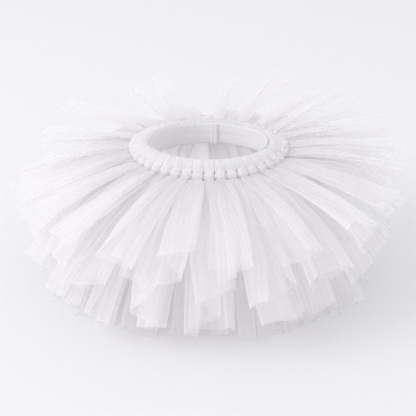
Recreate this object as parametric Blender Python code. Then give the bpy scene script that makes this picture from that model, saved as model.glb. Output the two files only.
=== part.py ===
"""A small pull-on tulle tutu, standing on its own hem, in metres with +Z up.

Strips of tulle are folded over a narrow core elastic and knotted just outside it, side by side all the way
round. The two tails of each strip fan out from its knot, so the skirt is four tiers of pleated tails, and the
lowest tier stands on the floor. A plain elastic band, lapped at centre back, lines the waist.

The origin is on the floor under the middle of the waist. Angles go round from centre front (-Y) towards +X.
"""

import math
from collections import namedtuple

import bmesh
import bpy

MM = 0.001

# Driving dimensions
RIM_HEIGHT = 150 * MM
WAIST_RADIUS = 65.5 * MM
SEAM_GAP = 0.3 * MM

BAND_WIDTH = 25 * MM
BAND_WALL = 1.2 * MM
BAND_STATIONS = 60
LAP_INNER_END = 9.5 * MM
LAP_OUTER_END = 1.5 * MM
LAP_EASE = 12 * MM

CORE_RADIUS = 72.5 * MM
CORE_WALL = 1.5 * MM
CORE_TOP_DROP = 4 * MM
CORE_WIDTH = 7.8 * MM
CORE_STATIONS = 44

STRIPS = 44
SLOT = math.tau / STRIPS
LOOP_CLEARANCE = math.radians(0.19)
TAIL_CLEARANCE = math.radians(0.28)
SLOT_HALF_WIDTH = SLOT / 2 - LOOP_CLEARANCE
TAIL_HALF_WIDTH = SLOT - TAIL_CLEARANCE
KNOT_HALF_WIDTH = math.radians(3.3)

LOOP_WALL = 2 * MM
TAIL_WALL = 1.2 * MM
KNOT_RADIUS = 85 * MM
KNOT_HALF_HEIGHT = 4.7 * MM
KNOT_LENGTH = 9.4 * MM
KNOT_EDGE = 0.5
KNOT_NECK = 1.9 * MM
SLIT_HALF = 0.15 * MM

GOLDEN_ANGLE = math.pi * (3 - math.sqrt(5))

# A strip's corners across its width, the folds of its pleats there, and the roundness of its loop and knot
CORNERS = (-1, -1 / 3, 1 / 3, 1)
PLEAT = (1, -1, 1, -1)
CROWN = (KNOT_EDGE, 1, 1, KNOT_EDGE)

# How far the knots sit below the rim, at the four compass points of the waist
Compass = namedtuple("Compass", "front right back left")
KNOT_DROP = Compass(front=9 * MM, right=6 * MM, back=5 * MM, left=6 * MM)

# The fold of a strip round the core elastic: its middle line from the knot over the rim and back to the knot
Fold = namedtuple("Fold", "place radius drop faces")
LOOP = (
    Fold("rim top", 71.5 * MM, 1.2 * MM, math.radians(100)),
    Fold("waist side", 68.2 * MM, 7.5 * MM, math.radians(180)),
    Fold("underneath", 73.5 * MM, 16 * MM, math.radians(265)),
)

# The tiers of tails: how steeply each falls and how long it is at the four compass points, how much its slope
# steepens from knot to hem, and how unevenly the tails lie. The floor tier's slope comes from the floor. The top
# tier's tails were fluffed up one by one, so their slopes are listed from centre front towards the right:
# several at the back stand up, and one between them has flopped down.
Tier = namedtuple("Tier", "slope length curl")
TOP_SLOPES = (17, 14, 9, 6, 3, 1, 1, -5, -4, -12, -3, 12, -4, 5, -3, 7, 15, 14, 13, 14, 16, 17)
TOP_TIER = Tier(TOP_SLOPES, Compass(135 * MM, 128 * MM, 133 * MM, 129 * MM), 4)
SECOND_TIER = Tier(Compass(28, 16, 21, 26), Compass(145 * MM, 130 * MM, 129 * MM, 138 * MM), 5)
THIRD_TIER = Tier(Compass(40, 32, 34, 41), Compass(154 * MM, 145 * MM, 138 * MM, 158 * MM), 6)
SLOPE_SWAY = 1.6
LENGTH_SWAY = 4 * MM
FLOOR_CURL = math.radians(9)
FLOOR_REACH = 181 * MM
FLOOR_SWAY = 3 * MM

# Where a tail is measured along its length, and how deep its pleats are there
Station = namedtuple("Station", "along half_width pleat")
TAIL_STATIONS = (
    Station(0.17, SLOT_HALF_WIDTH, 0.4 * MM),
    Station(0.52, TAIL_HALF_WIDTH, 1.9 * MM),
    Station(1.0, TAIL_HALF_WIDTH, 3.6 * MM),
)

# One section across a strip: its middle, the way its outer face looks in the radius-height plane, its half
# width as an angle, and how far its outer and inner faces stand off the middle at each of the corners
Section = namedtuple("Section", "radius height faces half_width outer inner")


def clear_scene():
    for item in list(bpy.data.objects):
        bpy.data.objects.remove(item, do_unlink=True)


def cloth_material(name, colour, roughness, alpha=1.0):
    material = bpy.data.materials.new(name)
    material.use_nodes = True
    shader = material.node_tree.nodes["Principled BSDF"]
    shader.inputs["Base Color"].default_value = (*colour, 1)
    shader.inputs["Roughness"].default_value = roughness
    shader.inputs["Metallic"].default_value = 0
    shader.inputs["Alpha"].default_value = alpha
    return material


def around(compass, angle):
    """The value of a compass table at an angle: exact at its four points and smooth between them."""
    mean = (compass.front + compass.right + compass.back + compass.left) / 4
    front_back = (compass.front - compass.back) / 2
    right_left = (compass.right - compass.left) / 2
    sides = (compass.front + compass.back - compass.right - compass.left) / 4
    return mean + front_back * math.cos(angle) + right_left * math.sin(angle) + sides * math.cos(2 * angle)


def place(radius, height, angle):
    return radius * math.sin(angle), -radius * math.cos(angle), height


def sway(index, seed):
    """An uneven but repeatable value from -1 to 1 for each strip."""
    return math.sin(GOLDEN_ANGLE * index * (seed + 1) + seed)


def along_curve(radius, height, start, finish, length, distance):
    """A point on an arc that leaves at the slope start and reaches the slope finish after its whole length."""
    bend = (finish - start) / length
    slope = start + bend * distance
    out = (math.sin(slope) - math.sin(start)) / bend
    down = (math.cos(start) - math.cos(slope)) / bend
    return radius + out, height - down, slope


def pleated(radius, height, faces, half_width, pleat):
    """A tail's section: a zigzag of three folds, one wall thick."""
    outer = [fold * pleat + TAIL_WALL / 2 for fold in PLEAT]
    inner = [fold * pleat - TAIL_WALL / 2 for fold in PLEAT]
    return Section(radius, height, faces, half_width, outer, inner)


def tail_curve(strip, side, angle):
    """The slopes and the length of one tail. Odd strips hold the top and floor tiers, even ones the others."""
    if strip % 2 and side < 0:
        reach = FLOOR_REACH + FLOOR_SWAY * sway(strip, 4) - KNOT_RADIUS - KNOT_LENGTH / 2
        fall = RIM_HEIGHT - around(KNOT_DROP, angle) - KNOT_NECK / 2
        slope = math.atan2(fall, reach)
        length = math.hypot(reach, fall) * FLOOR_CURL / math.sin(FLOOR_CURL)
        return slope - FLOOR_CURL, slope + FLOOR_CURL, length
    tier = TOP_TIER if strip % 2 else (SECOND_TIER if side > 0 else THIRD_TIER)
    if strip % 2:
        slope = math.radians(tier.slope[strip // 2])
    else:
        slope = math.radians(around(tier.slope, angle) + SLOPE_SWAY * sway(strip, side + 2))
    curl = math.radians(tier.curl)
    length = around(tier.length, angle) + LENGTH_SWAY * (sway(strip, side + 5) - 1) / 2
    return slope - curl, slope + curl, length


def tail_sections(strip, side, angle, knot_height):
    """The sections of one tail from its knot to its hem. Side is 1 for the upper tail and -1 for the lower."""
    start, finish, length = tail_curve(strip, side, angle)
    radius = KNOT_RADIUS + KNOT_LENGTH / 2
    height = knot_height + side * KNOT_NECK / 2
    on_floor = strip % 2 and side < 0
    sections = []
    for station in TAIL_STATIONS:
        r, z, slope = along_curve(radius, height, start, finish, length, station.along * length)
        if on_floor and station.along == 1:
            z, slope = 0, math.pi / 2
        faces = math.pi / 2 - slope if side > 0 else -math.pi / 2 - slope
        sections.append(pleated(r, z, faces, station.half_width, station.pleat))
    return sections


def knot_sections(side, knot_height):
    """Half of a knot, from its neck where the tail leaves to its middle. A thin slit parts it from the other half."""
    faces = side * math.pi / 2
    neck_outer = [KNOT_NECK * crown for crown in CROWN]
    body_outer = [KNOT_HALF_HEIGHT * crown for crown in CROWN]
    slit = [SLIT_HALF] * len(CROWN)
    return [
        Section(KNOT_RADIUS + KNOT_LENGTH / 2, knot_height, faces, KNOT_HALF_WIDTH, neck_outer, slit),
        Section(KNOT_RADIUS, knot_height, faces, KNOT_HALF_WIDTH, body_outer, slit),
    ]


def loop_sections():
    outer = [LOOP_WALL / 2 * crown for crown in CROWN]
    inner = [-LOOP_WALL / 2] * len(CROWN)
    return [
        Section(fold.radius, RIM_HEIGHT - fold.drop, fold.faces, SLOT_HALF_WIDTH, outer, inner) for fold in LOOP
    ]


def strip_sections(strip):
    """One strip from the hem of its upper tail, through its knot and loop, to the hem of its lower tail."""
    angle = SLOT * strip
    knot_height = RIM_HEIGHT - around(KNOT_DROP, angle)
    upper = knot_sections(1, knot_height)[:1] + tail_sections(strip, 1, angle, knot_height)
    lower = knot_sections(-1, knot_height)[:1] + tail_sections(strip, -1, angle, knot_height)
    upper_knot = knot_sections(1, knot_height)[1:]
    lower_knot = knot_sections(-1, knot_height)[1:]
    return upper[::-1] + upper_knot + loop_sections() + lower_knot + lower


def loft(name, rings, material, closed=False):
    """Joins rings of points, each with an outer and an inner row, into one closed wall."""
    mesh = bmesh.new()
    rows = [[[mesh.verts.new(point) for point in row] for row in ring] for ring in rings]
    pairs = list(zip(rows, rows[1:] + rows[:1])) if closed else list(zip(rows, rows[1:]))
    last = len(rows[0][0]) - 1
    for (outer, inner), (next_outer, next_inner) in pairs:
        for k in range(last):
            mesh.faces.new((outer[k], outer[k + 1], next_outer[k + 1], next_outer[k]))
            mesh.faces.new((inner[k + 1], inner[k], next_inner[k], next_inner[k + 1]))
        mesh.faces.new((inner[0], outer[0], next_outer[0], next_inner[0]))
        mesh.faces.new((outer[last], inner[last], next_inner[last], next_outer[last]))
    if not closed:
        for outer, inner in (rows[0], rows[-1]):
            for k in range(last):
                mesh.faces.new((outer[k], outer[k + 1], inner[k + 1], inner[k]))
    bmesh.ops.triangulate(mesh, faces=mesh.faces[:])
    bmesh.ops.recalc_face_normals(mesh, faces=mesh.faces[:])
    data = bpy.data.meshes.new(name)
    mesh.to_mesh(data)
    mesh.free()
    data.materials.append(material)
    piece = bpy.data.objects.new(name, data)
    bpy.context.scene.collection.objects.link(piece)
    return piece


def section_ring(section, angle):
    """The points of a section, spread evenly across the strip and moved out from its middle line."""
    rows = []
    for offsets in (section.outer, section.inner):
        row = []
        for corner, offset in zip(CORNERS, offsets):
            radius = section.radius + offset * math.cos(section.faces)
            height = section.height + offset * math.sin(section.faces)
            row.append(place(radius, height, angle + corner * section.half_width))
        rows.append(row)
    return rows


def make_strip(strip, material):
    rings = [section_ring(section, SLOT * strip) for section in strip_sections(strip)]
    return loft(f"tulle_strip_{strip + 1:02d}", rings, material)


def hoop_ring(inside, wall, low, high, angle):
    """A section of a flat elastic that stands on edge."""
    outer = [place(inside + wall, height, angle) for height in (low, high)]
    inner = [place(inside, height, angle) for height in (low, high)]
    return outer, inner


def make_band(material):
    """The waist elastic: once round and a short lap at centre back, where its inner end steps in over the other."""
    step = BAND_WALL + SEAM_GAP
    start = math.pi - LAP_INNER_END / WAIST_RADIUS
    lapped = (LAP_INNER_END + LAP_OUTER_END) / WAIST_RADIUS
    turn = math.tau + lapped
    ease = LAP_EASE / WAIST_RADIUS
    rings = []
    for k in range(BAND_STATIONS + 1):
        travel = turn * k / BAND_STATIONS
        past_lap = min(max((travel - lapped) / ease, 0), 1)
        inside = WAIST_RADIUS - step * (1 - past_lap)
        rings.append(hoop_ring(inside, BAND_WALL, RIM_HEIGHT - BAND_WIDTH, RIM_HEIGHT, start + travel))
    return loft("inner_band", rings, material)


def make_core(material):
    """The narrow elastic inside the loops, which the strips are knotted round."""
    top = RIM_HEIGHT - CORE_TOP_DROP
    rings = [
        hoop_ring(CORE_RADIUS, CORE_WALL, top - CORE_WIDTH, top, math.tau * k / CORE_STATIONS)
        for k in range(CORE_STATIONS)
    ]
    return loft("core_elastic", rings, material, closed=True)


def main():
    clear_scene()
    tulle = cloth_material("white_tulle", (0.84, 0.82, 0.85), 0.65, 0.75)
    elastic = cloth_material("white_elastic", (0.82, 0.81, 0.83), 0.8)
    for strip in range(STRIPS):
        make_strip(strip, tulle)
    make_band(elastic)
    make_core(elastic)


main()
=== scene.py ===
# %% [markdown]
# # A small tulle tutu, standing on its hem
# The real object is made without sewing a skirt: strips of soft net are folded over a narrow elastic and
# knotted, side by side, and their loose tails fan out as the skirt. A plain wide elastic lines the waist.
# Here every piece is a surface worked out from sizes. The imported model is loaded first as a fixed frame, so
# each piece of cloth can be put exactly where its plain solid stands.

# %% Load the frame
import math
from collections import namedtuple

import bpy
import numpy as np
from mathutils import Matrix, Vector


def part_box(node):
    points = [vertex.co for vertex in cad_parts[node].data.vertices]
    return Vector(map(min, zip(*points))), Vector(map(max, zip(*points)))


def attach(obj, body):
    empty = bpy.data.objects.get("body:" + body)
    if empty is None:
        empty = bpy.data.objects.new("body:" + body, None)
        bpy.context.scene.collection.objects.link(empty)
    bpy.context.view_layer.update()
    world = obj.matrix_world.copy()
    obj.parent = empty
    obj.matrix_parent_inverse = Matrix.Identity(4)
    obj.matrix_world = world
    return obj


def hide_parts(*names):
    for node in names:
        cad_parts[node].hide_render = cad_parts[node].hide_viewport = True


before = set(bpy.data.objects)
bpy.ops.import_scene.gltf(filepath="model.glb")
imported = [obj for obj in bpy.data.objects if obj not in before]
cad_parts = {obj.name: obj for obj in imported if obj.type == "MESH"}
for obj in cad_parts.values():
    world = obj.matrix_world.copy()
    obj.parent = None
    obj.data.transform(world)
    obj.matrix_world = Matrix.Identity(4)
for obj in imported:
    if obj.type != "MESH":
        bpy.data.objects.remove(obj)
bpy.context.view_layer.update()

scene = bpy.context.scene

# %% [markdown]
# ## Sizes that the whole tutu shares
# A maker starts from the waist elastic, the height of the rim and the cut of one strip. The same values
# drove the plain solids, so they are repeated here, and a later cell prints two strips' tails beside how far
# their solids reach. Angles go round from centre front (-Y) towards +X.

# %% Shared sizes
MM = 0.001
RIM_HEIGHT = 150 * MM
WAIST_RADIUS = 65.5 * MM
BAND_WIDTH = 25 * MM
BAND_WALL = 1.2 * MM
KNOT_RADIUS = 85 * MM
KNOT_LENGTH = 9.4 * MM
KNOT_NECK = 1.9 * MM

STRIP_WIDTH = 100 * MM
STRIPS = sum(name.startswith("tulle_strip_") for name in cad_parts)
SLOT = math.tau / STRIPS
GOLDEN_ANGLE = math.pi * (3 - math.sqrt(5))
SEED = 31

# %% [markdown]
# ## Compass tables
# The skirt droops at the front, lies almost flat at the right and rises at the back. Four values, one for
# each compass point of the waist, and a smooth formula between them describe that better than a long list.

# %% Compass values
Compass = namedtuple("Compass", "front right back left")
KNOT_DROP = Compass(front=9 * MM, right=6 * MM, back=5 * MM, left=6 * MM)
RIM_TILT = 2.2 * MM
BACK_SINK = 4 * MM


def around(compass, angle):
    """The mean, plus a cosine for front against back, a sine for right against left, and a double cosine."""
    mean = (compass.front + compass.right + compass.back + compass.left) / 4
    front_back = (compass.front - compass.back) / 2
    right_left = (compass.right - compass.left) / 2
    sides = (compass.front + compass.back - compass.right - compass.left) / 4
    return mean + front_back * math.cos(angle) + right_left * math.sin(angle) + sides * math.cos(2 * angle)


def rim_height(angle):
    """The rim stands a little higher at the front than at the back, by the cosine of the angle."""
    return RIM_HEIGHT + RIM_TILT * np.cos(angle)


def back_sink(angle):
    """How much lower than their plain solids the knots sit towards the back, where the roll hides them."""
    return BACK_SINK * np.maximum(-np.cos(angle), 0)


def sway(index, seed):
    """The sine of the golden angle times the strip's number: uneven, yet the same every time."""
    return math.sin(GOLDEN_ANGLE * index * (seed + 1) + seed)


quarters = [round(around(KNOT_DROP, quarter * math.pi / 2), 4) for quarter in range(4)]
print("knots below the rim at front, right, back and left", quarters)

# %% The four tiers of tails
Tier = namedtuple("Tier", "slope length curl")
TOP_SLOPES = (17, 14, 9, 6, 3, 1, 1, -5, -4, -12, -3, 12, -4, 5, -3, 7, 15, 14, 13, 14, 16, 17)
TOP_TIER = Tier(TOP_SLOPES, Compass(135 * MM, 128 * MM, 133 * MM, 129 * MM), 4)
SECOND_TIER = Tier(Compass(28, 16, 21, 26), Compass(145 * MM, 130 * MM, 129 * MM, 138 * MM), 5)
THIRD_TIER = Tier(Compass(40, 32, 34, 41), Compass(154 * MM, 145 * MM, 138 * MM, 158 * MM), 6)
SLOPE_SWAY = 1.6
LENGTH_SWAY = 4 * MM
FLOOR_CURL = math.radians(9)
FLOOR_REACH = 181 * MM
FLOOR_SWAY = 3 * MM


def tail_curve(strip, side, angle):
    """The slope at the knot, the slope at the hem and the length of one tail, as its plain solid has them."""
    if strip % 2 and side < 0:
        reach = FLOOR_REACH + FLOOR_SWAY * sway(strip, 4) - KNOT_RADIUS - KNOT_LENGTH / 2
        fall = RIM_HEIGHT - around(KNOT_DROP, angle) - KNOT_NECK / 2
        slope = math.atan2(fall, reach)
        length = math.hypot(reach, fall) * FLOOR_CURL / math.sin(FLOOR_CURL)
        return slope - FLOOR_CURL, slope + FLOOR_CURL, length
    tier = TOP_TIER if strip % 2 else (SECOND_TIER if side > 0 else THIRD_TIER)
    if strip % 2:
        slope = math.radians(tier.slope[strip // 2])
    else:
        slope = math.radians(around(tier.slope, angle) + SLOPE_SWAY * sway(strip, side + 2))
    curl = math.radians(tier.curl)
    length = around(tier.length, angle) + LENGTH_SWAY * (sway(strip, side + 5) - 1) / 2
    return slope - curl, slope + curl, length


for strip in (0, 1):
    node_low, node_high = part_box(f"tulle_strip_{strip + 1:02d}")
    curves = [tuple(round(v, 3) for v in tail_curve(strip, side, SLOT * strip)) for side in (1, -1)]
    print("strip", strip + 1, "tails", curves, "node reaches", round(-node_low.y, 4))

# %% [markdown]
# ## Camera
# The view is from the front and about twenty degrees above the rim, with a long lens, as for a small
# product on a table. It comes before the pieces, so every piece can be judged through it from the start.

# %% Camera
CAMERA_PLACE = (-1 * MM, -1034 * MM, 526 * MM)
CAMERA_PITCH = math.radians(23.96)
CAMERA_LENS = 84.3

camera_data = bpy.data.cameras.new("view_from_front")
camera_data.lens = CAMERA_LENS
camera_data.sensor_width = 36
camera = bpy.data.objects.new("view_from_front", camera_data)
camera.location = CAMERA_PLACE
camera.rotation_euler = (math.pi / 2 - CAMERA_PITCH, 0, 0)
scene.collection.objects.link(camera)
scene.camera = camera
print("camera", CAMERA_PLACE, "lens", CAMERA_LENS)

# %% [markdown]
# ## A small kit for surfaces
# A shape is worked out as a grid of points with numpy, and one helper turns the grids of a piece into a
# mesh. A sheet is open on all four sides. A tube has its last column joined to its first and both ends
# closed, and a hoop has its last row joined to its first as well. Each patch carries the flat cut's
# coordinates as a UV map, in metres, and a cover attribute: how densely the net covers, which also paints
# the net's colour, and on the waist band where the painted light under the stitches goes. Columns run so
# that the faces of closed patches look out.

# %% Patches and meshes
Patch = namedtuple("Patch", "points flat cover form")


def cells(rows, columns, form, wide):
    """Four corner numbers for each cell of a grid. A ring wraps, unless its rows have a point to spare."""
    row, column = np.meshgrid(np.arange(rows if form == "hoop" else rows - 1),
                              np.arange(columns - 1 if form == "sheet" else columns), indexing="ij")
    after = column + 1 if wide > columns else (column + 1) % columns
    below = row + 1 if wide > columns else (row + 1) % rows
    return np.stack([row * wide + column, row * wide + after,
                     below * wide + after, below * wide + column], axis=-1).reshape(-1, 4)


def make_piece(name, patches, material):
    """Stacks the patches' points, cells and flat places in whole arrays and hands them to one mesh."""
    points, faces, flats, cover, start = [], [], [], [], 0
    for patch in patches:
        rows, columns = patch.points.shape[:2]
        wide = patch.flat.shape[1]
        faces += (cells(rows, columns, patch.form, columns) + start).tolist()
        flats.append(patch.flat.reshape(-1, 2)[cells(rows, columns, patch.form, wide)].reshape(-1, 2))
        if patch.form == "tube":
            first = np.arange(columns) + start
            last = first + (rows - 1) * columns
            faces += [first[::-1].tolist(), last.tolist()]
            flats += [patch.flat[0, :columns][::-1], patch.flat[-1, :columns]]
        points.append(patch.points.reshape(-1, 3))
        cover.append(patch.cover.reshape(-1))
        start += rows * columns
    mesh = bpy.data.meshes.new(name)
    mesh.from_pydata(np.concatenate(points), [], faces)
    flat_cut = mesh.uv_layers.new(name="flat_cut").uv
    flat_cut.foreach_set("vector", np.concatenate(flats).astype(np.float32).ravel())
    covers = mesh.attributes.new("cover", "FLOAT", "POINT").data
    covers.foreach_set("value", np.concatenate(cover).astype(np.float32))
    mesh.shade_smooth()
    mesh.materials.append(material)
    piece = bpy.data.objects.new(name, mesh)
    scene.collection.objects.link(piece)
    return piece


# %% [markdown]
# ## The net's finish
# Tulle is a net of fine threads with holes about a millimetre wide. Modelled one by one, the threads would
# take millions of faces, so the net is a material on the coordinates of the flat cut. Three waves, sixty
# degrees apart, add up to a honeycomb: the threads are where their sum is low. Where the cloth turns away
# in a fold, or lies in many layers near a knot, its threads crowd together, and the cover attribute says
# so, because that belongs to the cloth and stays put from every side. The same cover also sets the colour:
# thin net gets a darker white, painted shade for the shaded inside seen through it, and crowded net a
# brighter white, painted light. Part of the light goes through the threads, so a translucent shader is
# mixed in, and what is left of the holes is transparent. The net never covers less than a set share,
# because thinner net breaks up into specks in a small picture.

# %% Node helpers
def link(tree, source, target):
    tree.links.new(source, target)


def arithmetic(tree, operation, first, second=None, clamp=False):
    """One Math node. Each input is a socket or a plain number."""
    node = tree.nodes.new("ShaderNodeMath")
    node.operation = operation
    node.use_clamp = clamp
    for socket, value in zip(node.inputs, (first, second)):
        if isinstance(value, bpy.types.NodeSocket):
            link(tree, value, socket)
        elif value is not None:
            socket.default_value = value
    return node.outputs[0]


def new_material(name):
    material = bpy.data.materials.new(name)
    material.use_nodes = True
    tree = material.node_tree
    shader = tree.nodes["Principled BSDF"]
    return material, tree, shader, tree.nodes["Material Output"]


# %% Tulle
NET_PITCH = 1.6 * MM
THREAD_EDGE = (-0.9, 1.2)
NET_CONTRAST = 0.14
HOLES_COVER = 0.27
# painted shade: thin net gets the darker white, bunched net the brighter one
NET_PAINTED_SHADE_WHITE = (0.935, 0.918, 0.934, 1)
BUNCHED_WHITE = (0.99, 0.982, 0.988, 1)
TULLE_LET_THROUGH = 0.55


def honeycomb(tree, flat):
    """The sum of three cosines of the flat place, along directions sixty degrees apart, mapped to 0 and 1."""
    split = tree.nodes.new("ShaderNodeSeparateXYZ")
    link(tree, flat, split.inputs[0])
    turns = math.tau / NET_PITCH / (math.sqrt(3) / 2)
    waves = None
    for direction in (0, math.pi / 3, -math.pi / 3):
        across = arithmetic(tree, "MULTIPLY", split.outputs[0], turns * math.sin(direction))
        along = arithmetic(tree, "MULTIPLY", split.outputs[1], turns * math.cos(direction))
        wave = arithmetic(tree, "COSINE", arithmetic(tree, "ADD", across, along))
        waves = wave if waves is None else arithmetic(tree, "ADD", waves, wave)
    ranged = tree.nodes.new("ShaderNodeMapRange")
    ranged.inputs["From Min"].default_value, ranged.inputs["From Max"].default_value = THREAD_EDGE
    ranged.inputs["To Min"].default_value, ranged.inputs["To Max"].default_value = 1, 0
    link(tree, waves, ranged.inputs["Value"])
    return ranged.outputs["Result"]


def tulle_material():
    material, tree, shader, output = new_material("white_tulle_net")
    shader.inputs["Roughness"].default_value = 0.62
    shader.inputs["Specular IOR Level"].default_value = 0.25
    shader.inputs["Sheen Weight"].default_value = 0.15
    flat = tree.nodes.new("ShaderNodeUVMap")
    flat.uv_map = "flat_cut"
    cover = tree.nodes.new("ShaderNodeAttribute")
    cover.attribute_name = "cover"
    # painted shade and light: the colour darkens where the net is thin and brightens where it crowds
    shaded_white = tree.nodes.new("ShaderNodeMix")
    shaded_white.data_type = "RGBA"
    shaded_white.inputs["A"].default_value, shaded_white.inputs["B"].default_value = NET_PAINTED_SHADE_WHITE, BUNCHED_WHITE
    link(tree, cover.outputs["Fac"], shaded_white.inputs["Factor"])
    link(tree, shaded_white.outputs["Result"], shader.inputs["Base Color"])
    thread = honeycomb(tree, flat.outputs["UV"])
    swing = arithmetic(tree, "MULTIPLY", arithmetic(tree, "SUBTRACT", thread, 0.5), NET_CONTRAST)
    room = arithmetic(tree, "MULTIPLY", arithmetic(tree, "SUBTRACT", 1, cover.outputs["Fac"]), swing)
    solid = arithmetic(tree, "ADD", cover.outputs["Fac"], room, clamp=True)
    solid = arithmetic(tree, "MAXIMUM", solid, HOLES_COVER)
    through = tree.nodes.new("ShaderNodeBsdfTranslucent")
    link(tree, shaded_white.outputs["Result"], through.inputs["Color"])
    threads = tree.nodes.new("ShaderNodeMixShader")
    threads.inputs[0].default_value = TULLE_LET_THROUGH
    link(tree, shader.outputs[0], threads.inputs[1])
    link(tree, through.outputs[0], threads.inputs[2])
    holes = tree.nodes.new("ShaderNodeBsdfTransparent")
    net = tree.nodes.new("ShaderNodeMixShader")
    link(tree, solid, net.inputs[0])
    link(tree, holes.outputs[0], net.inputs[1])
    link(tree, threads.outputs[0], net.inputs[2])
    link(tree, net.outputs[0], output.inputs["Surface"])
    return material


tulle = tulle_material()
print("tulle net pitch", NET_PITCH)

# %% [markdown]
# ## How gathered cloth folds
# When a flat strip is gathered it can't shrink, so it folds. A cloth simulation could find such folds, but
# it is slow and comes out differently after every small change. Here the fold is drawn by the direction of
# the cloth at each place across the strip: its cosine and its sine, summed from edge to edge, give a line
# whose length is the flat width, whatever the direction does. A tail is a flat fan. All its creases start
# evenly spread at the knot, where the layers lie in one narrow stack. On the way down, darts close: these
# are pairs of creases that turn the cloth there and back. The creases that are left make most tails a
# flattened tube, a see-through panel between two crisp edges. Finer gathers, a zigzag that fades away from
# the knot, run down the whole tail, and their crests show as streaks where the threads lie closer: the net is
# denser there, and its colour is painted lighter through the cover.

# %% Fine gathers
SLOW_WAVE = 0.8
CRUSH_FOLDS = (7, 11)
CRUSH_WARP = 2.0
CRUSH_REACH = (0.3, 0.8)
CRUSH_UNEVEN = 0.3
CRUSH_SQUARE = 1.6
CREST_WIDTH = 0.5
CREST_STAYS = 0.35


def slow_waves(rng, places, count, size):
    """A sum of a few sines with random phases, each new one shorter and smaller."""
    total = np.zeros_like(places)
    for k in range(1, count + 1):
        height = size / k * rng.uniform(0.5, 1)
        total = total + height * np.sin(math.tau * k * places * SLOW_WAVE + rng.uniform(0, math.tau))
    return total


def gather_direction(rng, share, down, crush):
    """A zigzag across the strip: a sine flattened by tanh, which fades downwards. With it come its crests,
    narrow bells where the sine crosses zero and the cloth turns from one side to the other."""
    phase = math.tau * rng.uniform(*CRUSH_FOLDS) * share + slow_waves(rng, share, 5, CRUSH_WARP)
    swing = np.sin(phase + rng.uniform(0, math.tau))
    fade = np.exp(-down / rng.uniform(*CRUSH_REACH))
    uneven = 1 + slow_waves(rng, share, 4, CRUSH_UNEVEN)
    crests = np.exp(-(swing / CREST_WIDTH) ** 2) * np.clip(uneven, 0, 2)
    crests = crests * (CREST_STAYS + (1 - CREST_STAYS) * fade)
    return crush * np.tanh(CRUSH_SQUARE * swing) * uneven * fade, crests


print("fine gathers across a strip", CRUSH_FOLDS)

# %% Creases
TAIL_COLUMNS = 101
STRIP_EDGE = STRIP_WIDTH / MM / 2
CREASE = 0.8 * MM
CREASE_SLIDE = 0.8
FOLD_BACK = 0.97
DARTS = (1, 4)
DART_CLOSES = (0.5, 1.7)
DART_SPREAD = 96
DART_HALF = 0.15


def crease_lines(rng, down, pose):
    """Where each crease crosses the strip, row by row, and how it turns. The edges come first and last."""
    darts = rng.integers(*DARTS)
    creases = [(place, turn, 1) for place, turn in pose.creases]
    for place in (np.arange(darts) + rng.uniform(0.15, 0.85, darts)) / darts * DART_SPREAD - DART_SPREAD / 2:
        turn = rng.choice([-1, 1])
        close = rng.uniform(*DART_CLOSES)
        creases += [(place - DART_HALF, turn, close), (place + DART_HALF, -turn, close)]
    creases.sort()
    neck = np.linspace(-STRIP_EDGE, STRIP_EDGE, len(creases) + 2)
    places, turns, closes = np.array(creases).T
    hem = np.concatenate([[-STRIP_EDGE], places, [STRIP_EDGE]])
    closes = np.concatenate([[1], closes, [1]])
    lines = neck + (hem - neck) * np.minimum(down / closes, 1) ** CREASE_SLIDE
    return np.maximum.accumulate(lines, axis=1) * MM, turns


def columns_between(lines):
    """Columns that stay with the creases, spaced by a cosine between two of them, closest at the creases."""
    stretches = lines.shape[1] - 1
    each = TAIL_COLUMNS // stretches
    column = np.arange(stretches * each + 1)
    stretch = np.minimum(column // each, stretches - 1)
    share = 0.5 - 0.5 * np.cos(math.pi * (column / each - stretch))
    return lines[:, stretch] * (1 - share) + lines[:, stretch + 1] * share


def crease_direction(across, down, pose, lines, turns):
    """Each crease adds or takes nearly half a turn, softly, and more softly towards the hem."""
    back = math.pi * (FOLD_BACK - pose.open * down ** 2)
    softness = CREASE * (1 + pose.round * down ** 2)
    total = pose.first
    for line, turn in zip(lines[:, 1:-1].T, turns):
        total = total + turn * (1 + np.tanh((across - line[:, None]) / softness)) / 2
    return total * back


# %% Fold shape
NECK_WIDTH = 7.6 * MM
NECK_TALL = 3.8 * MM


def fold_shape(direction, across, down, reach, steady):
    """Running sums of the direction's cosine and sine across the cloth, centred and levelled. The width and
    the height that they span at the hem are kept there and shrink to those of the neck on the way up. The
    width opens quickly at first, as an exponential, and partly steadily."""
    step = np.diff(across, axis=1, prepend=across[:, :1])
    side = np.cumsum(np.cos(direction) * step, axis=1)
    lift = np.cumsum(np.sin(direction) * step, axis=1)
    side = side - (side.max(axis=1, keepdims=True) + side.min(axis=1, keepdims=True)) / 2
    lift = lift - lift.mean(axis=1, keepdims=True)
    lift = lift - side * (lift * side).mean(axis=1, keepdims=True) / (side ** 2).mean(axis=1, keepdims=True)
    width, tall = np.ptp(side, axis=1, keepdims=True), np.ptp(lift, axis=1, keepdims=True)
    fan = steady * down + (1 - steady) * (1 - np.exp(-down / reach)) / (1 - math.exp(-1 / reach))
    wanted_width = NECK_WIDTH + (width[-1] - NECK_WIDTH) * fan
    wanted_tall = NECK_TALL + (tall[-1] - NECK_TALL) * down ** 0.8
    return side * wanted_width / width, lift * np.minimum(wanted_tall / tall, 1)
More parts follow.
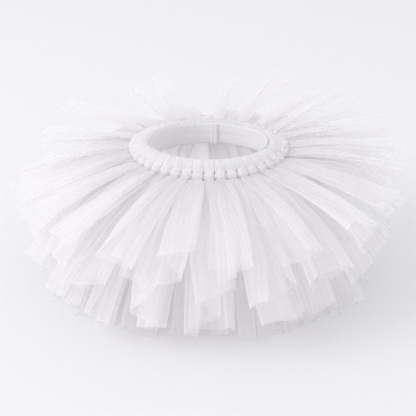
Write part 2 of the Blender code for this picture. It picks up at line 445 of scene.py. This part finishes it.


# %% [markdown]
# ## One tail
# A tail leaves its knot as a tight bundle and opens like a fan. Its middle line is the arc of its plain
# solid, with a slight wave. The fold's shape is laid across that line, turned a little about it, as tails
# that lie on each other like shingles are. Most tails take one of a few usual folds, with its creases moved
# at random. The ones that stand out are set one by one: how far round they lean, how they twist, how long
# they are, and how they are folded, each crease with its place in millimetres at the hem and the way it
# turns.

# %% Tails set one by one
Pose = namedtuple("Pose", "lean twist length first creases open round thin")
HAND_SET = {
    (25, 1): Pose(-0.35, -24, 1.0, 1, ((-36, -1), (34, -1)), 0.1, 1.5, 0.9),
    (23, 1): Pose(0.2, 8, 0.92, 1, ((-18, -1), (16, -1)), 0.05, 1, 0.9),
    (21, 1): Pose(-0.2, 18, 0.97, 1, ((-18, -1), (14, -1)), 0.02, 1, 0.9),
    (19, 1): Pose(-0.5, 12, 1.0, 1, ((-19, -1), (17, -1)), 0.02, 1, 0.95),
    (17, 1): Pose(0.2, -10, 0.98, 1, ((-14, -1), (12, -1)), 0.0, 1, 0.95),
    (15, 1): Pose(0.0, 42, 1.0, -1, ((-24, 1), (24, 1)), 0.1, 1, 0.9),
    (5, 1): Pose(0.2, -6, 1.0, 1, ((-24, -1), (24, -1)), 0.06, 8, 1.0),
}
print("tails set by hand on strips", [strip + 1 for strip, _ in HAND_SET])

# %% Usual folds
TUBE = (1, (-22, -1), (22, -1))
TUBE_OVER = (-1, (-22, 1), (22, 1))
HALF_FOLD = (0, (3, -1))
LETTER_FOLD = (0, (-20, 1), (14, -1))
OTHER_LETTER = (0, (-14, -1), (20, 1))
ACCORDION = (0, (-30, 1), (-12, -1), (12, 1), (30, -1))
PLEATS = (0, (-34, 1), (-22, -1), (-6, 1), (9, -1), (26, 1), (37, -1))
UPPER_FOLDS = (TUBE, TUBE, TUBE_OVER, HALF_FOLD, LETTER_FOLD, OTHER_LETTER, ACCORDION, ACCORDION, PLEATS)
BACK_FOLDS = (TUBE, TUBE, TUBE_OVER, HALF_FOLD)
LOWER_FOLDS = (TUBE, TUBE, TUBE_OVER, LETTER_FOLD, OTHER_LETTER)
FLOOR_FOLDS = (TUBE, TUBE_OVER)
BACK_FROM = -0.3
WIDER_TOP = 1.08
WIDER_SECOND = 1.3
WIDER_FLOOR = 1.25
WIDER_THIRD = 1.4
CREASE_SHIFT = 2.5
PLEATS_OPEN = 0.15
USUAL_SCALE = (0.72, 1.08)
USUAL_LEAN = 0.18
USUAL_TWIST = (3, 5)
USUAL_LENGTH = (0.94, 1.06)
USUAL_OPEN = (-0.1, 0.25)
USUAL_ROUND = (0.2, 2)
USUAL_THIN = (0.92, 1.12)


def usual_pose(rng, angle, strip, side):
    """One of the usual folds, with each crease moved a few millimetres. Pleats open more than tubes do."""
    if side > 0:
        folds = UPPER_FOLDS if math.cos(angle) > BACK_FROM else BACK_FOLDS
        wider = WIDER_TOP if strip % 2 else WIDER_SECOND
    else:
        folds = FLOOR_FOLDS if strip % 2 else LOWER_FOLDS
        wider = WIDER_FLOOR if strip % 2 else WIDER_THIRD
    first, *creases = folds[rng.integers(len(folds))]
    scale = rng.uniform(*USUAL_SCALE) * wider
    creases = [(place * scale + rng.normal(0, CREASE_SHIFT), turn) for place, turn in creases]
    opened = rng.uniform(*USUAL_OPEN) + (PLEATS_OPEN if len(creases) > 2 else 0)
    rounded = rng.uniform(*USUAL_ROUND) ** 2
    lean = rng.normal(0, USUAL_LEAN) / wider ** 2
    twist = rng.normal(*USUAL_TWIST)
    length = rng.uniform(*USUAL_LENGTH)
    return Pose(lean, twist, length, first, creases, max(opened, 0), rounded, rng.uniform(*USUAL_THIN))


print("usual folds", len(UPPER_FOLDS), "above", len(LOWER_FOLDS), "below", len(FLOOR_FOLDS), "on the floor")

# %% Cover of a tail
NECK_COVER = 0.45
HEM_COVER = 0.36
EDGE_COVER = 0.07
TOP_THINNER = 0.15
CREST_LAYERS = 0.35
LEAST_TURN = 0.5
MOST_COVER = 0.97


def net_cover(creased, crests, thin):
    """How much the net hides: one layer's share, taken as often as its threads crowd together in a crease."""
    layers = 1 / np.maximum(np.abs(np.cos(creased)), LEAST_TURN) + CREST_LAYERS * crests
    cover = 1 - (1 - thin) ** layers
    cover[:, [0, -1]] += EDGE_COVER
    return np.clip(cover, 0, MOST_COVER)


# %% Cut of a tail
FRONT_LONGER = 0.12
FRONT_LENGTH = 1.02
FRONT_EVEN = 0.5
LONGEST = 1.12
FLOOR_LONGER = (0.97, 1.06)
CUT_SLANT = (0.16, 0.32)
HEM_WAVES = 1.4 * MM


def tail_cut(rng, across, length, pose, in_front, strip, side):
    """The net's length down each column: the tail's own, longer in front, with a slanting and wavy hem."""
    longer = pose.length + FRONT_LONGER * in_front
    longer = min(longer + (FRONT_LENGTH - longer) * FRONT_EVEN * in_front, LONGEST)
    if strip % 2 and side < 0:
        longer = rng.uniform(*FLOOR_LONGER)
    cut = length * longer + across * rng.uniform(-1, 1) * CUT_SLANT[side > 0]
    return cut + slow_waves(rng, across / STRIP_WIDTH * 2, 3, HEM_WAVES)


# %% Arc of a tail
NECK_START = 1.2 * MM
FLOOR_SOFT = 1.2 * MM
FLOOR_GAP = 0.3 * MM


def lay_on_arc(step, lift, distance, curve, turned, neck_height):
    """The middle line is an arc in the upright plane of its angle: its slope grows evenly with the distance.
    The fold's side step goes across the plane, and its lift stands square on the arc."""
    start, finish, length = curve
    bend = (finish - start) / length
    slope = start + bend * distance
    radius = KNOT_RADIUS + NECK_START + (np.sin(slope) - math.sin(start)) / bend + lift * np.sin(slope)
    height = neck_height + (np.cos(slope) - math.cos(start)) / bend + lift * np.cos(slope)
    return np.stack([radius * np.sin(turned) + step * np.cos(turned),
                     -radius * np.cos(turned) + step * np.sin(turned), height], axis=-1)


def above_floor(height):
    """The height, levelled out just above the floor by the logarithm of a sum of exponentials."""
    return FLOOR_GAP + FLOOR_SOFT * np.logaddexp(0, height / FLOOR_SOFT)


# %% Tail surface
TAIL_ROWS = 33
NECK_DROP = 4.4 * MM
NECK_FADE = 24 * MM
FAN_REACH = (0.14, 0.14)
STEADY_FAN = (0.1, 0.55)
FLOOR_FAN_REACH = 0.05
CRUSH_TURN = (0.16, 0.45)
BILLOW = 0.06
SIDE_CALM = 0.6
TAIL_WAVE = 2.5 * MM
UNDER_BULGE = 6 * MM
FRONT_DROOP = 7 * MM
NET_START = 40 * MM


def tail_patch(rng, angle, knot_height, strip, side):
    """The fold is the sum of the cloth's direction across the strip. It is twisted and laid on the arc."""
    curve = tail_curve(strip, side, angle)
    usual = usual_pose(rng, angle, strip, side)
    pose = HAND_SET.get((strip, side), usual)
    on_floor = strip % 2 and side < 0
    down = np.linspace(0, 1, TAIL_ROWS)[:, None]
    lines, turns = crease_lines(rng, down, pose)
    across = columns_between(lines)
    share = across / STRIP_WIDTH
    in_front = max(math.cos(angle), 0) ** 2
    cut = tail_cut(rng, across, curve[2], pose, in_front, strip, side)
    distance = down * cut
    creased = crease_direction(across, down, pose, lines, turns)
    billow = slow_waves(rng, share + 0.3 * down, 3, BILLOW) * (0.5 + 0.5 * down)
    calm = SIDE_CALM + (1 - SIDE_CALM) * math.cos(angle)
    gathers, crests = gather_direction(rng, share, down, calm * rng.uniform(*CRUSH_TURN))
    reach = FLOOR_FAN_REACH if on_floor else FAN_REACH[side > 0]
    step, lift = fold_shape(creased + gathers + billow, across, down, reach, STEADY_FAN[side > 0])
    twist = math.radians(pose.twist) * down
    step, lift = step * np.cos(twist) - lift * np.sin(twist), step * np.sin(twist) + lift * np.cos(twist)
    wave = down * rng.uniform(3, 7) + share * rng.uniform(-2, 2) + rng.uniform(0, 6)
    if not on_floor:
        lift = lift + TAIL_WAVE * down ** 2 * np.sin(wave)
    if strip % 2 == 0:
        lift = lift + UNDER_BULGE * np.sin(math.pi * down)
    neck = (NECK_DROP + back_sink(angle)) * np.exp(-distance / NECK_FADE)
    turned = angle + pose.lean * SLOT * down
    points = lay_on_arc(step, lift, distance, curve, turned, knot_height - neck + side * KNOT_NECK / 2)
    if strip % 2 == 0:
        points[..., 2] -= FRONT_DROOP * in_front * down ** 2
    points[..., 2] = above_floor(points[..., 2])
    flat = np.stack(np.broadcast_arrays(across + STRIP_WIDTH / 2, side * (distance + NET_START)), axis=-1)
    thin = (NECK_COVER + (HEM_COVER - NECK_COVER) * down ** 0.5) * pose.thin
    if strip % 2 and side > 0:
        thin = thin * (1 - TOP_THINNER * down * (1 - math.cos(angle)) / 2)
    return Patch(points, flat, net_cover(creased, calm * crests, thin), "sheet"), cut.mean()


print("each tail", TAIL_ROWS, "rows down and about", TAIL_COLUMNS, "columns across")

# %% [markdown]
# ## One loop and one knot
# Between its two tails the strip is bunched: it goes over the rim, down behind the waist band, under the
# core and back. Bunched net looks like a soft pad with lengthwise creases, so the loop is a flattened tube
# carried along a path, with grooves that wander a little, and it fills its share of the circle so that the
# loops press against each other. It is pinched where it enters the knot, a bead with the wraps of a slip
# knot.

# %% Loop path
def smooth_path(knots, count):
    """Catmull-Rom through the path's points: each stretch blends its four nearest points by cubic weights."""
    padded = np.vstack([2 * knots[0] - knots[1], knots, 2 * knots[-1] - knots[-2]])
    travel = np.linspace(0, len(knots) - 1 - 1e-9, count)
    whole = travel.astype(int)
    t = (travel - whole)[:, None]
    a, b, c, d = (padded[whole + k] for k in range(4))
    square = 2 * a - 5 * b + 4 * c - d
    cube = 3 * b - a - 3 * c + d
    return 0.5 * (2 * b + (c - a) * t + square * t ** 2 + cube * t ** 3)


def loop_path(knot_drop, puff):
    """Radius, drop below the rim and half depth of the tube, from the knot over the rim and back."""
    return MM * np.array([
        (83.4, knot_drop - 2.0, 2.0), (81.2, knot_drop * 0.55, 2.7 * puff),
        (77.2, 1.3, 2.6 * puff), (72.4, -0.1, 2.2 * puff), (69.2, 1.8, 1.9),
        (68.6, 8.5, 1.6), (70.4, 14.0, 1.5), (74.5, 16.3, 1.7),
        (79.5, 14.3, 2.0), (84.0, knot_drop + 2.5, 2.2)])


# %% Loop surface
LOOP_ROWS = 34
LOOP_COLUMNS = 60
LOOP_PUFF = (0.9, 1.12)
LOOP_PINCH = 0.62
PINCH_REACH = 0.09
LOOP_SQUARE = (0.8, 0.4)
LOOP_GROOVES = 7
GROOVE_WANDER = 0.1
GROOVE_DEEP = (0.04, 0.34)
GROOVE_WIDE = (0.04, 0.1)
LOOP_RIPPLE = 0.02
LOOP_CUT = (24 * MM, 50 * MM)
BUNCHED_COVER = 0.95


def loop_patch(rng, angle, knot_height):
    """Across: a squarish oval whose outer side has grooves shaped like narrow bells. Along: the path."""
    rim = rim_height(angle)
    knot_drop = (rim - knot_height) / MM
    line = smooth_path(loop_path(knot_drop, rng.uniform(*LOOP_PUFF)), LOOP_ROWS)
    radius, height, depth = line[:, :1], rim - line[:, 1:2], line[:, 2:]
    along = np.gradient(np.hstack([radius, height]), axis=0)
    along /= np.linalg.norm(along, axis=1, keepdims=True)
    turn = np.linspace(math.tau, 0, LOOP_COLUMNS, endpoint=False)[None, :]
    down = np.linspace(0, 1, LOOP_ROWS)[:, None]
    pinch = 1 - (1 - LOOP_PINCH) * np.exp(-((1 - np.abs(2 * down - 1)) / PINCH_REACH) ** 2)
    half_width = (SLOT / 2) * radius * pinch
    level = np.sign(np.cos(turn)) * np.abs(np.cos(turn)) ** LOOP_SQUARE[0]
    groove = 0
    for place in np.linspace(-0.8, 0.8, LOOP_GROOVES) + rng.uniform(-0.1, 0.1, LOOP_GROOVES):
        wander = place + GROOVE_WANDER * np.sin(math.tau * down * rng.uniform(0.5, 1.2) + rng.uniform(0, 6))
        deep = rng.uniform(*GROOVE_DEEP)
        groove = groove + deep * np.exp(-((level - wander) / rng.uniform(*GROOVE_WIDE)) ** 2)
    lift = np.sign(np.sin(turn)) * np.abs(np.sin(turn)) ** LOOP_SQUARE[1]
    lift = lift * depth * (1 - groove * (np.sin(turn) > 0))
    side = level * half_width * (1 - LOOP_RIPPLE * (1 + np.sin(11 * down + rng.uniform(0, 6))))
    radius = radius + along[:, 1:] * lift
    height = height - along[:, :1] * lift
    points = np.stack([radius * math.sin(angle) + side * math.cos(angle),
                       -radius * math.cos(angle) + side * math.sin(angle), height], axis=-1)
    map_turn = np.linspace(0, 1, LOOP_COLUMNS + 1)[None, :]
    flat = np.stack(np.broadcast_arrays(map_turn * LOOP_CUT[0], (0.5 - down) * LOOP_CUT[1]), axis=-1)
    return Patch(points, flat, np.full(side.shape, BUNCHED_COVER), "tube")


print("each loop", LOOP_ROWS, "rows along and", LOOP_COLUMNS, "columns round")

# %% Knot surface
KNOT_ROWS = 26
KNOT_COLUMNS = 36
KNOT_SIZE = np.array([6.3, 5.4, 5.5]) * MM
KNOT_REACH = 5.85 * MM
KNOT_TILT = 38
KNOT_ROUND = 0.75
KNOT_TIP = 0.04
WRAP_TURNS = 4.2
WRAP_DEEP = 0.1
KNOT_CREASE = 0.02
KNOT_CUT = (30 * MM, 4 * MM)


def knot_patch(rng, angle, knot_height):
    """A rounded bead with slanting wraps: grooves where a cosine of the travel, waved by the turn, peaks."""
    slope = math.radians(KNOT_TILT + rng.uniform(-8, 8))
    down = np.linspace(KNOT_TIP, math.pi - KNOT_TIP, KNOT_ROWS)[:, None]
    turn = np.linspace(0, math.tau, KNOT_COLUMNS, endpoint=False)[None, :]
    slant = 1.1 * np.sin(turn + rng.uniform(0, 6)) + rng.uniform(-0.8, 0.8)
    wraps = (0.5 + 0.5 * np.cos(WRAP_TURNS * down + slant)) ** 6
    creases = np.cos(turn * 9 + 3 * down + rng.uniform(0, 6))
    creases = creases + 0.6 * np.cos(turn * 5 - 2 * down + rng.uniform(0, 6))
    swell = 1 - WRAP_DEEP * wraps + KNOT_CREASE * creases * np.sin(down)
    swell = swell + 0.03 * np.sin(2 * turn + rng.uniform(0, 6))
    reach = -np.cos(down) * KNOT_SIZE[1] * np.ones_like(turn)
    wide = np.sin(down) ** KNOT_ROUND * np.cos(turn) * KNOT_SIZE[0] * swell * rng.uniform(0.93, 1.03)
    wide = np.clip(wide, -KNOT_REACH, KNOT_REACH)
    tall = np.sin(down) ** KNOT_ROUND * np.sin(turn) * KNOT_SIZE[2] * swell * rng.uniform(0.93, 1.05)
    radius = KNOT_RADIUS + reach * math.cos(slope) + tall * math.sin(slope)
    height = knot_height - reach * math.sin(slope) + tall * math.cos(slope)
    points = np.stack([radius * math.sin(angle) + wide * math.cos(angle),
                       -radius * math.cos(angle) + wide * math.sin(angle), height], axis=-1)
    map_turn = np.linspace(0, 1, KNOT_COLUMNS + 1)[None, :]
    flat = np.stack(np.broadcast_arrays(map_turn * KNOT_CUT[0], down * KNOT_CUT[1]), axis=-1)
    return Patch(points, flat, np.full(wide.shape, BUNCHED_COVER), "tube")


print("each knot", KNOT_ROWS, "rows along and", KNOT_COLUMNS, "columns round")

# %% [markdown]
# ## All the strips
# Each strip is one piece of cloth: upper tail, knot, loop and lower tail. Every strip has its own random
# numbers, seeded by its place, so that no two are alike and the tutu is the same each time. It stands for
# its plain solid, which is hidden, and its cut length is worked out and printed: its two tails and what the
# loop and the knot take up.

# %% Strips
TAKEN_UP = 75 * MM


def make_strip(strip):
    rng = np.random.default_rng([SEED, strip])
    angle = SLOT * strip
    knot_height = RIM_HEIGHT - around(KNOT_DROP, angle)
    upper, upper_length = tail_patch(rng, angle, knot_height, strip, 1)
    lower, lower_length = tail_patch(rng, angle, knot_height, strip, -1)
    bead_height = knot_height - back_sink(angle)
    patches = [upper, lower, loop_patch(rng, angle, bead_height), knot_patch(rng, angle, bead_height)]
    piece = make_piece(f"tulle_{strip + 1:02d}", patches, tulle)
    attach(piece, "root")
    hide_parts(f"tulle_strip_{strip + 1:02d}")
    cut_length = upper_length + lower_length + TAKEN_UP
    return piece, cut_length


strips = [make_strip(strip) for strip in range(STRIPS)]
cut_lengths = [round(cut_length, 3) for _, cut_length in strips]
print("strips", len(strips), "with", len(strips[0][0].data.polygons), "cells each, cut", cut_lengths)

# %% [markdown]
# ## Elastic finish
# Knitted elastic has fine upright ribs and a matt, slightly napped face. Two waves in the flat map give the
# ribs and the courses of the knit as a low bump, and the colour dips a little in between them, painted
# shade in the grooves. Under the stitch rows the colour is painted lighter, painted light that lifts the
# shade among the threads, and the cover attribute says where that is.

# %% Elastic
RIB_PITCH = 1.1 * MM
COURSE_PITCH = 0.8 * MM
ELASTIC_WHITE = (0.89, 0.88, 0.9, 1)
ELASTIC_SHADE = (0.81, 0.80, 0.825, 1)
# painted light: the colour under the stitch rows
ELASTIC_PAINTED_LIGHT = (0.98, 0.97, 0.98, 1)


def elastic_material():
    material, tree, shader, _ = new_material("white_knit_elastic")
    shader.inputs["Roughness"].default_value = 0.8
    shader.inputs["Specular IOR Level"].default_value = 0.2
    shader.inputs["Sheen Weight"].default_value = 0.2
    flat = tree.nodes.new("ShaderNodeUVMap")
    flat.uv_map = "flat_cut"
    split = tree.nodes.new("ShaderNodeSeparateXYZ")
    link(tree, flat.outputs["UV"], split.inputs[0])
    ribs = arithmetic(tree, "MULTIPLY", split.outputs[1], math.tau / RIB_PITCH)
    rib = arithmetic(tree, "COSINE", ribs)
    courses = arithmetic(tree, "MULTIPLY", split.outputs[0], math.tau / COURSE_PITCH)
    course = arithmetic(tree, "COSINE", courses)
    knit = arithmetic(tree, "ADD", rib, arithmetic(tree, "MULTIPLY", course, 0.4))
    # painted shade: the colour dips in the grooves between the ribs
    shade = tree.nodes.new("ShaderNodeMix")
    shade.data_type = "RGBA"
    shade.inputs["A"].default_value = ELASTIC_SHADE
    shade.inputs["B"].default_value = ELASTIC_WHITE
    link(tree, arithmetic(tree, "MULTIPLY_ADD", knit, 0.36, clamp=True), shade.inputs["Factor"])
    cover = tree.nodes.new("ShaderNodeAttribute")
    cover.attribute_name = "cover"
    # painted light: the colour is lighter under the stitch rows
    painted_light_mix = tree.nodes.new("ShaderNodeMix")
    painted_light_mix.data_type = "RGBA"
    painted_light_mix.inputs["A"].default_value = ELASTIC_PAINTED_LIGHT
    link(tree, shade.outputs["Result"], painted_light_mix.inputs["B"])
    link(tree, cover.outputs["Fac"], painted_light_mix.inputs["Factor"])
    link(tree, painted_light_mix.outputs["Result"], shader.inputs["Base Color"])
    bump = tree.nodes.new("ShaderNodeBump")
    bump.inputs["Strength"].default_value = 0.35
    bump.inputs["Distance"].default_value = 0.25 * MM
    link(tree, knit, bump.inputs["Height"])
    link(tree, bump.outputs[0], shader.inputs["Normal"])
    return material


elastic = elastic_material()
print("elastic rib pitch", RIB_PITCH)

# %% [markdown]
# ## Waist band
# The band is one length of elastic standing on edge, lapped at centre back. Its section is a flat rounded
# outline with a shallow groove at mid height, carried once round. At the lap, its inner end steps in, and
# two rows of zigzag stitches hold it. At the left it bends inwards a little, away from the roll of loops.

# %% Section of an elastic
BAND_LEVELS = 24
EDGE_THINS = 0.9
EDGE_POWER = 14


def band_section():
    """Height and depth share, up the inner face and down the outer one. A high power rounds the edges."""
    level = np.linspace(0, 1, BAND_LEVELS)
    soft = 0.5 - 0.5 * np.abs(2 * level - 1) ** EDGE_POWER * EDGE_THINS
    return np.concatenate([level, level[::-1]]), np.concatenate([0.5 - soft, 0.5 + soft])


# %% Waist band
BAND_STATIONS = 320
BAND_WAVE = 0.4 * MM
BAND_KINK = 1.8 * MM
KINK_ANGLE = math.radians(242)
KINK_REACH = 0.3
GROOVE_DEPTH = 0.4 * MM
GROOVE_HALF = 0.035
LAP_INNER_END = 11 * MM
LAP_OUTER_END = 1.5 * MM
LAP_EASE = 12 * MM
SEAM_GAP = 0.3 * MM
STITCH_ROWS = (3.1 * MM, 7.6 * MM)
STITCH_HALF_WIDTH = 1.3 * MM
# how much painted light goes under the stitch rows
STITCH_PAINTED_LIGHT = 0.8


def band_patch():
    """The angle grows evenly along the elastic. The radius eases out past the lap, and the edges wave."""
    lap = (LAP_INNER_END + LAP_OUTER_END) / WAIST_RADIUS
    travel = np.linspace(0, math.tau + lap, BAND_STATIONS)[:, None]
    angle = math.pi - LAP_INNER_END / WAIST_RADIUS + travel
    past_lap = np.clip((travel - lap) / (LAP_EASE / WAIST_RADIUS), 0, 1)
    ease = past_lap ** 2 * (3 - 2 * past_lap)
    level, depth = (row[None, :] for row in band_section())
    groove = GROOVE_DEPTH * np.exp(-((level - 0.5) / GROOVE_HALF) ** 2) * (depth < 0.5)
    kink = BAND_KINK * np.exp(-((angle - KINK_ANGLE) / KINK_REACH) ** 2)
    inside = WAIST_RADIUS - (BAND_WALL + SEAM_GAP) * (1 - ease) - kink
    radius = inside + depth * BAND_WALL + groove
    wave = BAND_WAVE * np.sin(5 * angle + 1) * np.sin(2 * angle)
    height = rim_height(angle) - BAND_WIDTH + level * BAND_WIDTH + wave
    points = np.stack(np.broadcast_arrays(radius * np.sin(angle), -radius * np.cos(angle), height), axis=-1)
    levels = np.append(level, level[:, :1], axis=1)
    flat = np.stack(np.broadcast_arrays(levels * BAND_WIDTH, travel * WAIST_RADIUS), axis=-1)
    across = (math.pi - angle) * WAIST_RADIUS
    under = sum(np.exp(-((across - middle) / STITCH_HALF_WIDTH / 1.1) ** 6) for middle in STITCH_ROWS)
    # painted light under the stitch rows, carried in the cover attribute
    return Patch(points, flat, 1 - STITCH_PAINTED_LIGHT * under * (depth < 0.5), "tube")


waist_band = make_piece("waist_band", [band_patch()], elastic)
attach(waist_band, "root")
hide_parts("inner_band")
print("waist band", len(waist_band.data.polygons), "cells, lap", round(LAP_INNER_END + LAP_OUTER_END, 4))

# %% [markdown]
# ## Lap stitches
# Two rows of zigzag stitches close the lap. A thread could be a curve with a round bevel, but a tube made
# like the other pieces has flat coordinates, so the twist of its plies can run along it. It is drawn
# thicker than real thread, so that its zigzag can be seen from a step away.

# %% Lap stitches
STITCH_COUNT = 21
STITCHES_FROM = 1.03
STITCHES_SPAN = 1.04
THREAD_RADIUS = 0.55 * MM
THREAD_TWIST = 0.5 * MM
THREAD_WHITE = (0.99, 0.985, 0.99, 1)
THREAD_SHADE = (0.95, 0.94, 0.95, 1)


def thread_patch(middle):
    """A tube round a zigzag, a triangle wave bent round the waist. Each stitch stands proud in its middle."""
    turns = np.linspace(0, STITCH_COUNT, STITCH_COUNT * 4 + 1)[:, None]
    across = middle + STITCH_HALF_WIDTH * (2 * np.abs(turns % 2 - 1) - 1)
    height = rim_height(math.pi) - BAND_WIDTH * (STITCHES_FROM - STITCHES_SPAN * turns / STITCH_COUNT)
    ring = np.linspace(math.tau, 0, 6, endpoint=False)[None, :]
    proud = THREAD_RADIUS * (0.6 * np.sin(turns * math.pi) ** 2 - 0.3)
    radius = WAIST_RADIUS - BAND_WALL - SEAM_GAP - proud - THREAD_RADIUS * np.sin(ring)
    angle = math.pi - (across + 0.6 * THREAD_RADIUS * np.cos(ring)) / WAIST_RADIUS
    points = np.stack(np.broadcast_arrays(radius * np.sin(angle), -radius * np.cos(angle),
                                          height + THREAD_RADIUS * np.cos(ring)), axis=-1)
    ring_wide = np.linspace(0, 1, 7)[None, :]
    flat = np.stack(np.broadcast_arrays(ring_wide * 2 * MM, turns * 1.9 * MM), axis=-1)
    return Patch(points, flat, np.ones(points.shape[:2]), "tube")


def thread_material():
    """Twisted thread: a fine slanting wave of the flat place as bump and as a dip in the white, painted shade
    between the plies.
    """
    material, tree, shader, _ = new_material("white_thread")
    shader.inputs["Roughness"].default_value = 0.5
    shader.inputs["Sheen Weight"].default_value = 0.3
    flat = tree.nodes.new("ShaderNodeUVMap")
    flat.uv_map = "flat_cut"
    split = tree.nodes.new("ShaderNodeSeparateXYZ")
    link(tree, flat.outputs["UV"], split.inputs[0])
    slant = arithmetic(tree, "ADD", split.outputs[0], split.outputs[1])
    twist = arithmetic(tree, "COSINE", arithmetic(tree, "MULTIPLY", slant, math.tau / THREAD_TWIST))
    # painted shade in the grooves between the plies
    shade = tree.nodes.new("ShaderNodeMix")
    shade.data_type = "RGBA"
    shade.inputs["A"].default_value = THREAD_SHADE
    shade.inputs["B"].default_value = THREAD_WHITE
    link(tree, arithmetic(tree, "MULTIPLY_ADD", twist, 0.5, clamp=True), shade.inputs["Factor"])
    link(tree, shade.outputs["Result"], shader.inputs["Base Color"])
    bump = tree.nodes.new("ShaderNodeBump")
    bump.inputs["Strength"].default_value = 0.3
    bump.inputs["Distance"].default_value = 0.1 * MM
    link(tree, twist, bump.inputs["Height"])
    link(tree, bump.outputs[0], shader.inputs["Normal"])
    return material


lap_stitches = make_piece("lap_stitches", [thread_patch(middle) for middle in STITCH_ROWS], thread_material())
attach(lap_stitches, "root")
print("lap stitches", STITCH_COUNT, "in each of", len(STITCH_ROWS), "rows")

# %% [markdown]
# ## Core elastic
# The strips are knotted round a narrow elastic, which lies hidden inside their loops. It could be left out,
# but the knots need something to hold on to, so it is made as well: the same section, turned once round.

# %% Core elastic
CORE_MIDDLE = 73.25 * MM
CORE_HALF_WALL = 0.75 * MM
CORE_TOP_DROP = 4 * MM
CORE_WIDTH = 7.8 * MM
CORE_STATIONS = 120


def core_patch():
    """A closed hoop: a rounded flat section turned once round the waist."""
    level, depth = (row[None, :] for row in band_section())
    angle = np.linspace(0, math.tau, CORE_STATIONS, endpoint=False)[:, None]
    radius = CORE_MIDDLE + (depth - 0.5) * 2 * CORE_HALF_WALL
    height = rim_height(angle) - CORE_TOP_DROP - CORE_WIDTH * (1 - level)
    points = np.stack(np.broadcast_arrays(radius * np.sin(angle), -radius * np.cos(angle), height), axis=-1)
    travel = np.linspace(0, math.tau, CORE_STATIONS + 1)[:, None] * CORE_MIDDLE
    levels = np.append(level, level[:, :1], axis=1)
    flat = np.stack(np.broadcast_arrays(levels * CORE_WIDTH, travel), axis=-1)
    return Patch(points, flat, np.ones(points.shape[:2]), "hoop")


core_tape = make_piece("core_tape", [core_patch()], elastic)
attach(core_tape, "root")
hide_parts("core_elastic")
print("core elastic", len(core_tape.data.polygons), "cells")

# %% [markdown]
# ## Floor and light
# A plain pale floor and soft light. A broad lamp from the left, in front and above gives the gentle shade
# on the right, and an even pale sky fills in the rest. The standard view keeps whites as they are.

# %% Floor
def floor_material():
    material, _, shader, _ = new_material("pale_floor")
    shader.inputs["Base Color"].default_value = (0.80, 0.80, 0.805, 1)
    shader.inputs["Roughness"].default_value = 0.9
    shader.inputs["Specular IOR Level"].default_value = 0.1
    return material


FLOOR_HALF = 6
corners = [(FLOOR_HALF * x, FLOOR_HALF * y, 0) for x, y in ((-1, -1), (1, -1), (1, 1), (-1, 1))]
floor_mesh = bpy.data.meshes.new("floor")
floor_mesh.from_pydata(corners, [], [(0, 1, 2, 3)])
floor_mesh.materials.append(floor_material())
floor = bpy.data.objects.new("floor", floor_mesh)
scene.collection.objects.link(floor)
print("floor", 2 * FLOOR_HALF, "m wide")

# %% Light
SKY = (0.985, 0.987, 1, 1)
SKY_STRENGTH = 0.995
KEY_PLACE = Vector((-2.7, -0.9, 2.1))
KEY_SIZE = 2.7
KEY_POWER = 36
KEY_AIM = Vector((0, 0, 0.1))

world = bpy.data.worlds.new("studio")
world.use_nodes = True
world.node_tree.nodes["Background"].inputs["Color"].default_value = SKY
world.node_tree.nodes["Background"].inputs["Strength"].default_value = SKY_STRENGTH
scene.world = world

key_data = bpy.data.lights.new("key", "AREA")
key_data.shape = "DISK"
key_data.size = KEY_SIZE
key_data.energy = KEY_POWER
key = bpy.data.objects.new("key", key_data)
key.location = KEY_PLACE
key.rotation_euler = (KEY_PLACE - KEY_AIM).to_track_quat("Z", "Y").to_euler()
scene.collection.objects.link(key)
scene.view_settings.view_transform = "Standard"
scene.cycles.transparent_max_bounces = 48
scene.cycles.diffuse_bounces = 8
print("key light", KEY_SIZE, "m across", KEY_POWER, "W")
